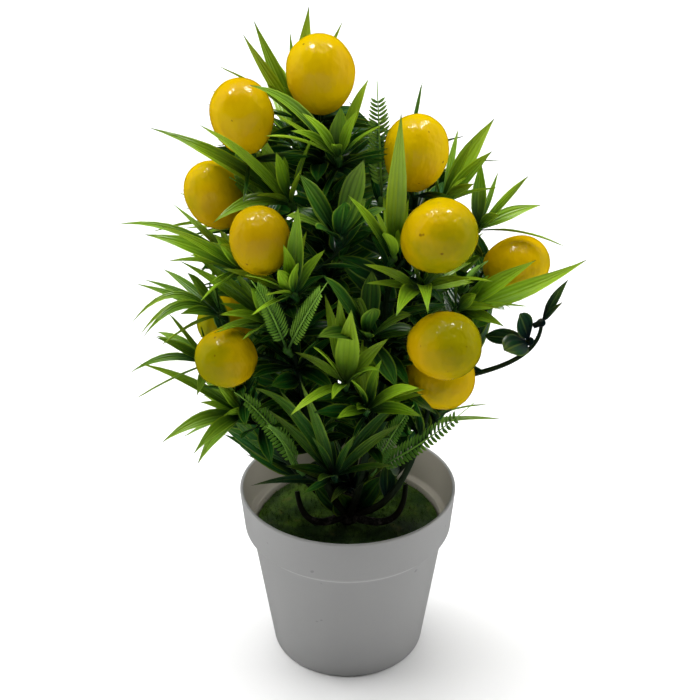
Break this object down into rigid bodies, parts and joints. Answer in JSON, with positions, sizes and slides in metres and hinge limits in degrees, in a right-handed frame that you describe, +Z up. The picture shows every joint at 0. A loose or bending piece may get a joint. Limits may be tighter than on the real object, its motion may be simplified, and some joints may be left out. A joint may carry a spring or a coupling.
{
  "type": "potted lemon tree",
  "caption": "Small artificial lemon tree: a branching stem with strap leaves, fern fronds and glossy lemons, standing in moss in a light grey collared pot.",
  "frame": {"origin": "middle of the pot's flat underside", "axes": "+Z up along the pot's axis, -Y towards the front of the tree, +X to the right seen from the front"},
  "size_m": [0.233, 0.1987, 0.37],
  "materials": {
    "pot": "satin",
    "filler": "matte",
    "moss": "matte",
    "stem": "satin",
    "lemon": "gloss",
    "bright": "satin",
    "deep": "satin",
    "fern": "satin",
    "dusk": "satin"
  },
  "bodies": {
    "root": {"pot": "pot", "filler": "filler", "moss": "moss", "stem": "stem", "lemon_1": "lemon", "lemon_2": "lemon", "lemon_3": "lemon", "lemon_4": "lemon", "lemon_5": "lemon", "lemon_6": "lemon", "lemon_7": "lemon", "lemon_8": "lemon", "lemon_9": "lemon", "lemon_10": "lemon", "lemon_11": "lemon", "lemon_12": "lemon", "lemon_13": "lemon", "lemon_14": "lemon", "lemon_15": "lemon", "lemon_16": "lemon", "centre_leaves": "bright", "centre_left_leaves": "bright", "crown_leaves": "bright", "far_left_leaves": "deep", "foot_leaves": "dusk", "front_low_leaves": "deep", "inner_left_leaves": "bright", "low_left_leaves": "deep", "mid_left_leaves": "bright", "outrider_low_leaves": "dusk", "outrider_tip_leaves": "dusk", "ovals_lower_leaves": "deep", "ovals_upper_leaves": "deep", "right_low_leaves": "bright", "right_reach_leaves": "bright", "right_rise_leaves": "bright", "shoulder_leaves": "bright", "skirt_left_leaves": "bright", "tall_front_leaves": "bright", "under_lemon_leaves": "bright", "upper_left_leaves": "bright", "upper_right_leaves": "bright", "fern_left_low_fronds": "fern", "fern_left_mid_fronds": "fern", "fern_left_top_fronds": "fern", "fern_right_low_fronds": "fern", "fern_right_mid_fronds": "fern", "fern_right_top_fronds": "fern", "back_1_leaves": "bright", "back_2_leaves": "deep", "back_3_leaves": "bright", "back_4_leaves": "bright", "back_5_leaves": "deep", "back_6_leaves": "bright", "back_7_leaves": "bright", "back_8_leaves": "deep", "back_9_leaves": "bright", "back_10_leaves": "bright", "back_11_leaves": "deep", "back_12_leaves": "bright"}
  },
  "joints": []
}
